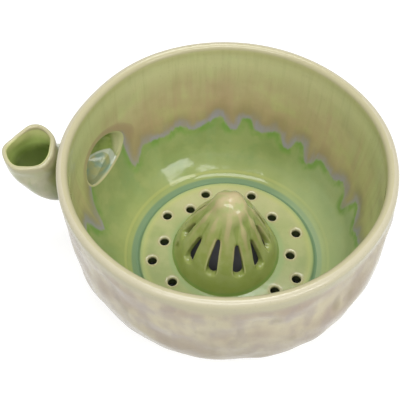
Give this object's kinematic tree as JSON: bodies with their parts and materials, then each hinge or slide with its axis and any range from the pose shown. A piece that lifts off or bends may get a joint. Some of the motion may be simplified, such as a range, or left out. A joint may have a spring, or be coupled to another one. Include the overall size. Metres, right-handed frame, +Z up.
{
  "type": "berry colander bowl",
  "caption": "Round glazed stoneware bowl with a pierced strainer floor, a slotted fluted dome in the middle and a short upturned spout on its side.",
  "frame": {"origin": "centre of the foot ring, on the surface that the bowl stands on", "axes": "+Z up along the axis of the bowl; the spout is on the -X side, swung a little towards -Y, which is the viewer's side"},
  "size_m": [0.207, 0.1716, 0.1],
  "materials": {
    "wall_glaze": "glossy cream and lavender glaze outside, olive to green glaze inside",
    "floor_glaze": "glossy yellow-green glaze with pale breaks round the holes",
    "foot_clay": "cream glaze down to a bare matt clay foot",
    "dome_glaze": "glossy olive glaze that breaks tan on the cap and the ribs",
    "spout_glaze": "glossy cream glaze outside, green glaze inside"
  },
  "bodies": {
    "root": {"bowl_wall": "wall_glaze", "strainer_floor": "floor_glaze", "foot_ring": "foot_clay", "strainer_dome": "dome_glaze", "spout": "spout_glaze"}
  },
  "joints": []
}
